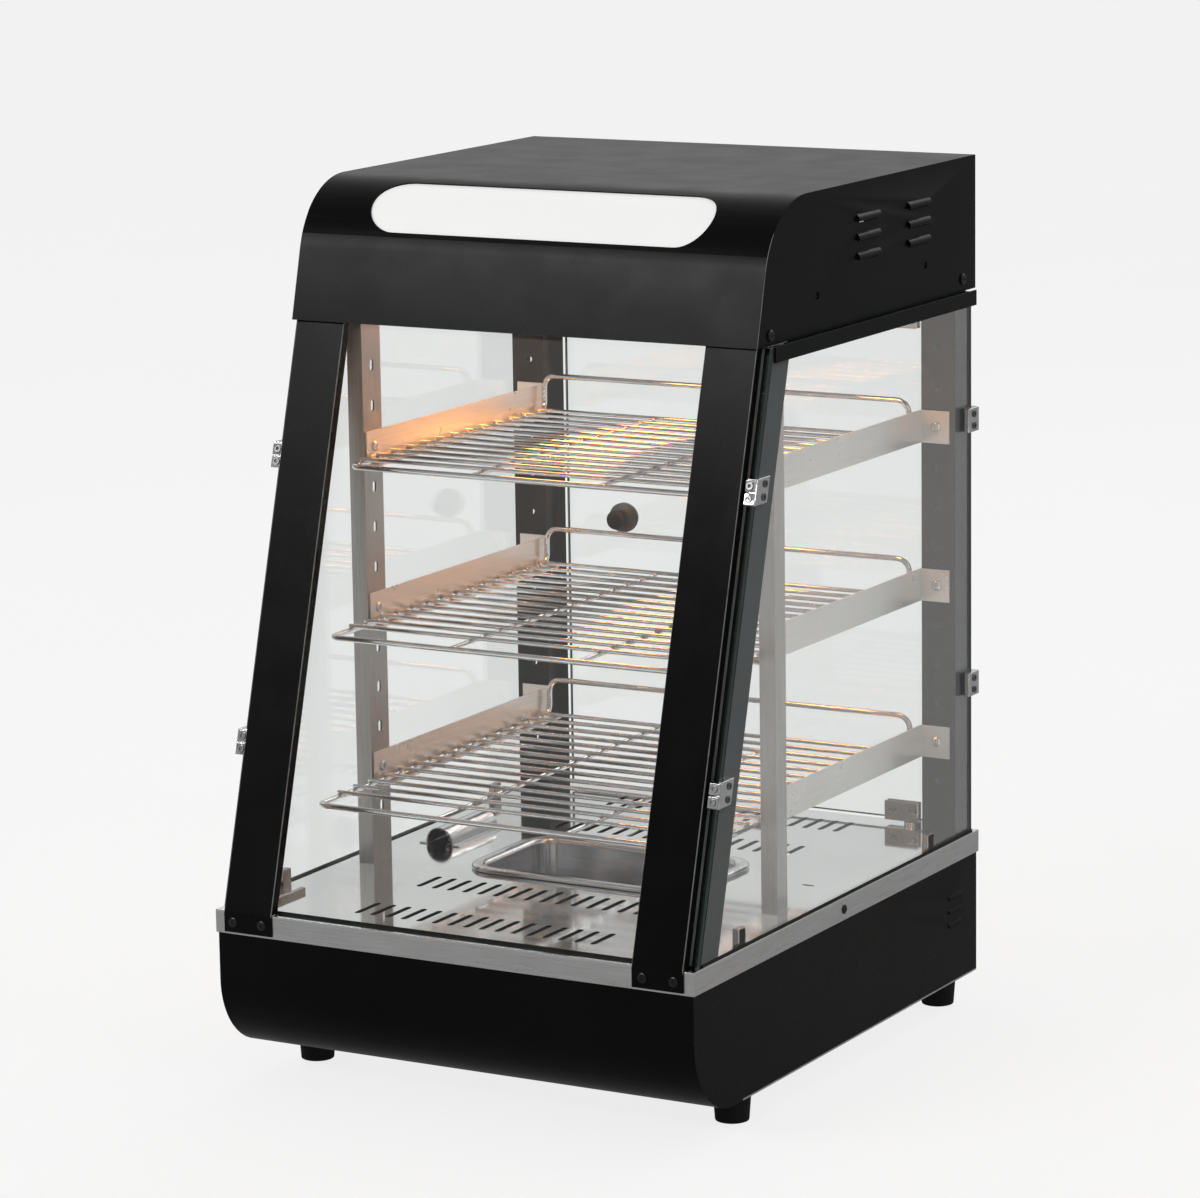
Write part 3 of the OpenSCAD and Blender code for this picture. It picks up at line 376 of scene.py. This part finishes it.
for name, width, look in (
        ("base_front_wrap", 0.0004, ""), ("base_side_left", 0.0004, ""),
        ("base_side_right", 0.0004, ""), ("base_rear_panel", 0.0004, ""),
        ("base_bottom_plate", 0.0003, ""), ("rubber_feet", 0.0008, ""),
        ("foot_screws", 0.0003, ""), ("deck_plate", 0.0005, "deck"),
        ("heater_brackets", 0.0003, ""), ("thermostat_body", 0.0008, ""),
        ("switch_housings", 0.0004, ""), ("pilot_lamp", 0.0005, ""),
        ("power_inlet", 0.0005, ""), ("inlet_pins", 0.0002, ""), ("terminal_block", 0.0006, ""),
        ("probe_guard", 0.0003, ""), ("front_post_left", 0.0004, ""),
        ("front_post_right", 0.0004, ""), ("rear_post_left", 0.0004, ""),
        ("rear_post_right", 0.0004, ""), ("shelf_brackets_left", 0.0004, "bracket_steel"),
        ("shelf_brackets_right", 0.0004, "bracket_steel"), ("bracket_screws", 0.0002, ""),
        ("corner_angle_left", 0.0004, "angle_steel"),
        ("corner_angle_right", 0.0004, "angle_steel"), ("black_screws", 0.0002, ""),
        ("glass_clips_left", 0.0006, ""), ("glass_clips_right", 0.0006, ""),
        ("clip_screws", 0.0002, "set_screw"), ("glass_stops", 0.0006, "clamp_chrome"),
        ("hood_side_left", 0.0003, ""), ("hood_side_right", 0.0003, ""),
        ("hood_rear_panel", 0.0004, ""), ("ceiling_panel", 0.0003, ""),
        ("sign_window", 0.0004, ""), ("lamp_holders", 0.0006, ""),
        ("top_rails", 0.0005, "black_paint"),
        ("door_pivot_bushes", 0.0003, ""), ("magnet_catch", 0.0006, ""),
        ("door_clamps", 0.0008, "clamp_chrome"), ("door_clamp_screws", 0.0002, "set_screw"),
        ("strike_plate", 0.0003, ""), ("thermostat_dial", 0.0005, ""),
        ("power_rocker", 0.0006, ""), ("light_rocker", 0.0006, "")):
    softened(name, width, look)

LONG_FOLD = 0.25                      # only the strips' long edges get the painted highlight
for name in ("front_strip_left", "front_strip_right"):
    softened(name, 0.0003, highlight_edge=lambda e: e.calc_length() > LONG_FOLD)

hood_low, hood_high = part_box("hood_top_wrap")
highlight_top = hood_high.z - 0.022       # the painted highlight fades out where the bend meets the top


def hood_side_edge(edge):
    """An edge along the side of the hood's front, up to the bend."""
    heights = [v.co.z for v in edge.verts]
    return (all(abs(abs(v.co.x) - hood_high.x) < 1e-5 for v in edge.verts)
            and all(hood_low.z + 0.0001 < z < highlight_top or abs(z - hood_low.z) < 0.0001
                    for z in heights)
            and abs(heights[0] - heights[1]) > 0.0005)


softened("hood_top_wrap", 0.0004, highlight_edge=hood_side_edge)

for name in ("wire_shelf_bottom", "wire_shelf_middle", "wire_shelf_top", "heating_element",
             "lamp_bulbs"):
    nodes[name].data.materials.clear()
    nodes[name].data.materials.append(LOOK[slot_of[name]])
    smooth(nodes[name].data, 50)


def skin(name, rings, close_start=True, sharp=60):
    """Mesh over a stack of rings with the same number of points, closed at its ends."""
    bm = bmesh.new()
    made = [[bm.verts.new(p) for p in ring] for ring in rings]
    count = len(made[0])
    for a, b in zip(made, made[1:]):
        for i in range(count):
            j = (i + 1) % count
            bm.faces.new((a[i], a[j], b[j], b[i]))
    bm.faces.new(made[-1])
    if close_start:
        bm.faces.new(reversed(made[0]))
    bmesh.ops.recalc_face_normals(bm, faces=bm.faces)
    mesh = bpy.data.meshes.new(name)
    bm.to_mesh(mesh)
    bm.free()
    smooth(mesh, sharp)
    return mesh


def rounded_ring(cx, cy, w, d, r, z, steps=10):
    """A level rectangle w by d about (cx, cy), with its corners rounded to radius r."""
    pts = []
    for k, (sx, sy) in enumerate(((1, 1), (-1, 1), (-1, -1), (1, -1))):
        mx, my = cx + sx * (w / 2 - r), cy + sy * (d / 2 - r)
        for i in range(steps + 1):
            a = math.pi / 2 * (k + i / steps)
            pts.append(Vector((mx + r * math.cos(a), my + r * math.sin(a), z)))
    return pts


# the water pan: rolled rim, tapered wall, rounded bottom
low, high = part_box("water_pan")
cx, cy = (low.x + high.x) / 2, (low.y + high.y) / 2
w, d = high.x - low.x, high.y - low.y
rim_r, lip_r = 0.022, 0.0016
shoulder_r, corner_r = 0.003, 0.009
profile = []                          # (inset from the rim's outer edge, height)
for i in range(7):                    # the rolled outer lip
    a = math.radians(-60 + 25 * i)
    profile.append((lip_r - lip_r * math.cos(a), high.z - lip_r + lip_r * math.sin(a)))
profile += [(0.0040, high.z - 0.0001), (0.0065, high.z - 0.0004)]
for i in range(1, 6):                 # the bend into the wall
    a = math.pi / 2 * i / 5
    profile.append((0.0065 + shoulder_r * math.sin(a),
                    high.z - 0.0004 - shoulder_r * (1 - math.cos(a))))
floor_z = low.z + 0.001
for i in range(7):                    # the bend into the bottom
    a = math.pi / 2 * i / 6
    profile.append((0.0125 + corner_r * (1 - math.cos(a)),
                    floor_z + corner_r * (1 - math.sin(a))))
profile.append((0.030, floor_z))
rings = [rounded_ring(cx, cy, w - 2 * t, d - 2 * t, max(rim_r - t * 0.8, 0.004), z)
         for t, z in profile]
pan = for_node("water_pan_pressed", skin("water_pan_pressed", rings, close_start=False),
               [LOOK["stainless"]], "water_pan")
sheet = pan.modifiers.new("sheet", "SOLIDIFY")
sheet.thickness = 0.0007
sheet.offset = 0.0


def turned(name, axis_x, axis_z, profile, steps=48):
    """A turned mesh about an axis along +Y; profile holds (y, radius)."""
    return skin(name, [[Vector((axis_x + r * math.cos(2 * math.pi * i / steps), y,
                                axis_z + r * math.sin(2 * math.pi * i / steps)))
                        for i in range(steps)] for y, r in profile])


# the door knob: inner washer, neck and a waisted grip with a dished end
low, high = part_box("door_knob")
kx, kz = (low.x + high.x) / 2, (low.z + high.z) / 2
grip = (high.x - low.x) / 2
glass_in, glass_out = (corner.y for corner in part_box("door_glass"))
knob_profile = [(low.y, 0.0052), (low.y + 0.0004, 0.0064), (low.y + 0.0010, 0.0070),
                (glass_in, 0.0070), (glass_in + 0.0002, 0.0032), (glass_out - 0.0002, 0.0032),
                (glass_out, 0.0062), (glass_out + 0.0035, 0.0058), (glass_out + 0.0052, 0.0066),
                (glass_out + 0.0060, grip - 0.0010), (glass_out + 0.0068, grip),
                (high.y - 0.0050, grip), (high.y - 0.0022, grip - 0.0012),
                (high.y - 0.0006, grip - 0.0036), (high.y, grip - 0.0060),
                (high.y - 0.0004, grip - 0.0078), (high.y - 0.0008, 0.0012)]
for_node("door_knob_turned", turned("door_knob_turned", kx, kz, knob_profile),
         [LOOK["black_plastic"]], "door_knob")

# the sensor bulb: a rod with rounded ends, wound with a close coil, on two saddles
low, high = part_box("thermostat_probe")
px, bulb_r = (low.x + high.x) / 2, 0.0026
pz = high.z - 0.003
ends = [(0.0, 0.0004), (0.0003, 0.0014), (0.0010, 0.0022), (0.0022, bulb_r)]
bulb_profile = ([(low.y + t, r) for t, r in ends]
                + [(high.y - t, r) for t, r in reversed(ends)])
for_node("thermostat_probe_bulb", turned("thermostat_probe_bulb", px, pz, bulb_profile, 24),
         [LOOK["screw_steel"]], "thermostat_probe")
coil_r, wire_r, pitch = bulb_r + 0.0011, 0.0009, 0.0024
per_turn, sides = 20, 8
turns = int((high.y - low.y - 0.008) / pitch)
rings = []
for k in range(turns * per_turn + 1):
    a = 2 * math.pi * k / per_turn
    centre = Vector((px + coil_r * math.cos(a), low.y + 0.004 + pitch * k / per_turn,
                     pz + coil_r * math.sin(a)))
    outward = Vector((math.cos(a), 0, math.sin(a)))
    along = Vector((-coil_r * math.sin(a), pitch / (2 * math.pi),
                    coil_r * math.cos(a))).normalized()
    side = along.cross(outward)
    rings.append([centre + wire_r * (math.cos(2 * math.pi * i / sides) * outward
                                     + math.sin(2 * math.pi * i / sides) * side)
                  for i in range(sides)])
for_node("thermostat_probe_coil", skin("thermostat_probe_coil", rings), [LOOK["screw_steel"]],
         "thermostat_probe")
for k, y in enumerate((low.y + 0.007, high.y - 0.009)):
    saddle = [[Vector((px + sx * half, y + sy, z)) for sx, sy in
               ((-1, 0.0), (1, 0.0), (1, 0.002), (-1, 0.002))]
              for half, z in ((0.003, deck_top), (0.003, deck_top + 0.0006),
                              (0.0012, deck_top + 0.0012), (0.0012, pz - 0.002))]
    for_node("thermostat_probe_saddle_%d" % k, skin("saddle", saddle, sharp=30),
             [LOOK["screw_steel"]], "thermostat_probe")


# ---------------------------------------------------------------- seals and trim

def bar(name, corners_a, corners_b, look="seal"):
    """A straight black seal, trim or dark band between two end outlines."""
    piece = new_piece(name, skin(name, [corners_a, corners_b], sharp=30), [LOOK[look]], "case")
    add_bevel(piece, "rounded_edges", 0.0002, "ANGLE").angle_limit = math.radians(FOLD)
    return piece


front_low, front_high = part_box("front_glass")
side_low, side_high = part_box("side_glass_right")
strip_low, strip_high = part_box("front_strip_right")
rise = front_high.z - front_low.z
front_back_low_y = front_high.y - rise * math.tan(LEAN)   # inner face of the pane at its foot
bead_h, bead_w = 0.0015, 0.0008
gap, seal_back = 0.00004, 0.00016     # the seal's front and back, behind the pane
for side, sign in (("left", -1), ("right", 1)):
    outer = sign * side_high.x
    inner = sign * (strip_high.x + 0.0002)
    edge = outer - sign * 0.0004
    # a near-black sheet, thinner than the gap, behind the front pane where it meets the side pane;
    # it darkens the band along that corner
    bar("corner_dark_band_" + side, *(
        [Vector((x, y + back_by, z)) for x, back_by in
         ((inner, gap), (edge, gap), (edge, seal_back), (inner, seal_back))]
        for y, z in ((front_back_low_y, front_low.z), (front_high.y, front_high.z)))
        ).modifiers.clear()
    # outer bead along the foot of the side pane
    outline = [(0.0, 0.0), (bead_w, 0.0), (bead_w * 0.7, bead_h), (0.0, bead_h)]
    bar("side_bead_" + side, *(
        [Vector((outer + sign * u, y, deck_top + v)) for u, v in outline]
        for y in (side_low.y + 0.002, side_high.y)))
bar("front_bead", *(
    [Vector((x, front_low.y - u, deck_top + v)) for u, v in
     ((0.0, 0.0), (bead_w, 0.0), (bead_w * 0.7, bead_h), (0.0004, bead_h))]
    for x in (-strip_low.x + 0.0005, strip_low.x - 0.0005)))

# black trim over the top edge of each side pane, tucked up under the hood
rail_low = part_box("top_rails")[0]
trim_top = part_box("hood_side_right")[0].z - 0.0003
trim_front_y = side_low.y + (rail_low.z - side_low.z) * math.tan(LEAN) + 0.003
trim_rear_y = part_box("rear_post_right")[1].y
trim_in, trim_out = side_high.x + 0.0001, side_high.x + 0.0013
for name, sign in (("pane_trim_left", -1), ("pane_trim_right", 1)):
    outline = [(sign * x, z) for x, z in ((trim_in, rail_low.z), (trim_out, rail_low.z),
                                          (trim_out, trim_top), (trim_in, trim_top))]
    bar(name, *([Vector((x, y, z)) for x, z in outline] for y in (trim_front_y, trim_rear_y)),
        "black_paint")


# ---------------------------------------------------------------- light, floor and camera

BACKDROP = 0.9                        # strength of the sky the camera sees directly
FLOOR_GLOW, FLOOR_MIRRORED = 0.80, 0.17   # of the floor as seen, and in reflections

# the sky is bright behind the case, dimmer in front of it, overhead and low down
world = bpy.data.worlds.new("studio")
scene.world = world
world.use_nodes = True
sky = world.node_tree
background = sky.nodes["Background"]
toward = sky.nodes.new("ShaderNodeTexCoord")
parts = sky.nodes.new("ShaderNodeSeparateXYZ")
sky.links.new(toward.outputs["Generated"], parts.inputs["Vector"])
behind = spread(sky, parts.outputs["Y"], -0.2, 0.8, 0.40, 1.00)
overhead = spread(sky, parts.outputs["Z"], 0.25, 1.0, 1.0, 0.55)
skyline = spread(sky, parts.outputs["Z"], 0.14, 0.34, 0.42, 1.0)
level = behind
for factor in (overhead, skyline):
    product = sky.nodes.new("ShaderNodeMath")
    product.operation = "MULTIPLY"
    sky.links.new(level, product.inputs[0])
    sky.links.new(factor, product.inputs[1])
    level = product.outputs["Value"]
seen = sky.nodes.new("ShaderNodeLightPath")
strength = sky.nodes.new("ShaderNodeMath")
strength.operation = "MAXIMUM"
sky.links.new(level, strength.inputs[0])
sky.links.new(spread(sky, seen.outputs["Is Camera Ray"], 0.0, 1.0, 0.0, BACKDROP),
              strength.inputs[1])
sky.links.new(strength.outputs["Value"], background.inputs["Strength"])
background.inputs["Color"].default_value = (1.0, 1.0, 1.0, 1)

floor_mesh = bpy.data.meshes.new("studio_floor")
reach = 40.0
floor_mesh.from_pydata([(-reach, -reach, 0), (reach, -reach, 0), (reach, reach, 0),
                        (-reach, reach, 0)], [], [(0, 1, 2, 3)])
floor_obj = bpy.data.objects.new("studio_floor", floor_mesh)
scene.collection.objects.link(floor_obj)
floor_mat, floor_tree, floor_bsdf, _ = shader("studio_paper")
floor_tree.links.new(ramp(floor_tree, noise(floor_tree, 3.0), (0.20, 0.20, 0.20),
                          (0.21, 0.21, 0.21)), floor_bsdf.inputs["Base Color"])
floor_bsdf.inputs["Roughness"].default_value = 0.9
floor_bsdf.inputs["Specular IOR Level"].default_value = 0.0
floor_bsdf.inputs["Emission Color"].default_value = (1, 1, 1, 1)
floor_seen = floor_tree.nodes.new("ShaderNodeLightPath")
floor_tree.links.new(spread(floor_tree, floor_seen.outputs["Is Reflection Ray"], 0.0, 1.0,
                            FLOOR_GLOW, FLOOR_MIRRORED), floor_bsdf.inputs["Emission Strength"])
floor_mesh.materials.append(floor_mat)
floor_obj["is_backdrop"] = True


def area_light(name, place, target, size, power, colour=(1, 1, 1)):
    """A soft rectangular light at place that faces target."""
    data = bpy.data.lights.new(name, "AREA")
    data.shape = "RECTANGLE"
    data.size, data.size_y = size
    data.energy = power
    data.color = colour
    lamp = bpy.data.objects.new(name, data)
    scene.collection.objects.link(lamp)
    lamp.location = place
    lamp.rotation_mode = "QUATERNION"
    lamp.rotation_quaternion = (Vector(target) - Vector(place)).to_track_quat("-Z", "Y")
    return lamp


middle = (0, 0, 0.3)
key = area_light("key_softbox", (-1.45, -2.60, 1.76), (0, -0.1, 0.5), (1.7, 0.44), 34)
area_light("side_softbox", (2.6, -0.9, 1.5), middle, (0.9, 1.5), 6)
area_light("back_softbox", (0.4, 2.4, 2.0), middle, (1.8, 1.0), 8)
# the heat lamps light the case but not the floor; the key light leaves the panes clear
lamp_lit = bpy.data.collections.new("lamp_lit")
key_lit = bpy.data.collections.new("key_lit")
for o in scene.objects:
    if o.type == "MESH" and o != floor_obj:
        lamp_lit.objects.link(o)
    if o.type == "MESH" and LOOK["glass"].name not in o.data.materials:
        key_lit.objects.link(o)
key.light_linking.receiver_collection = key_lit
ceiling_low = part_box("ceiling_panel")[0]
lamp_y = 0.040
for name, x in (("lamp_light_left", -0.080), ("lamp_light_right", 0.080)):
    lamp = area_light(name, (x, lamp_y, ceiling_low.z - 0.0008), (x, lamp_y, 0.3),
                      (0.080, 0.044), 0.42, (1.0, 0.36, 0.07))
    lamp.light_linking.receiver_collection = lamp_lit

CAMERA_PLACE = (1.63674, -2.89999, 0.96905)
CAMERA_YAW, CAMERA_PITCH, CAMERA_ROLL = 29.52, 11.09, -0.86
data = bpy.data.cameras.new("view")
data.sensor_width = 36.0
data.lens = 147.06
data.clip_end = 200.0
camera = bpy.data.objects.new("view", data)
scene.collection.objects.link(camera)
yaw, pitch, roll = (math.radians(a) for a in (CAMERA_YAW, CAMERA_PITCH, CAMERA_ROLL))
back = Vector((math.sin(yaw) * math.cos(pitch), -math.cos(yaw) * math.cos(pitch),
               math.sin(pitch)))
level_right = (-back).cross(Vector((0, 0, 1))).normalized()
level_up = level_right.cross(-back)
right = math.cos(roll) * level_right + math.sin(roll) * level_up
up = -math.sin(roll) * level_right + math.cos(roll) * level_up
turn = Matrix((right, up, back)).transposed()
camera.matrix_world = Matrix.Translation(CAMERA_PLACE) @ turn.to_4x4()
scene.camera = camera

bpy.context.view_layer.update()
low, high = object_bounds()
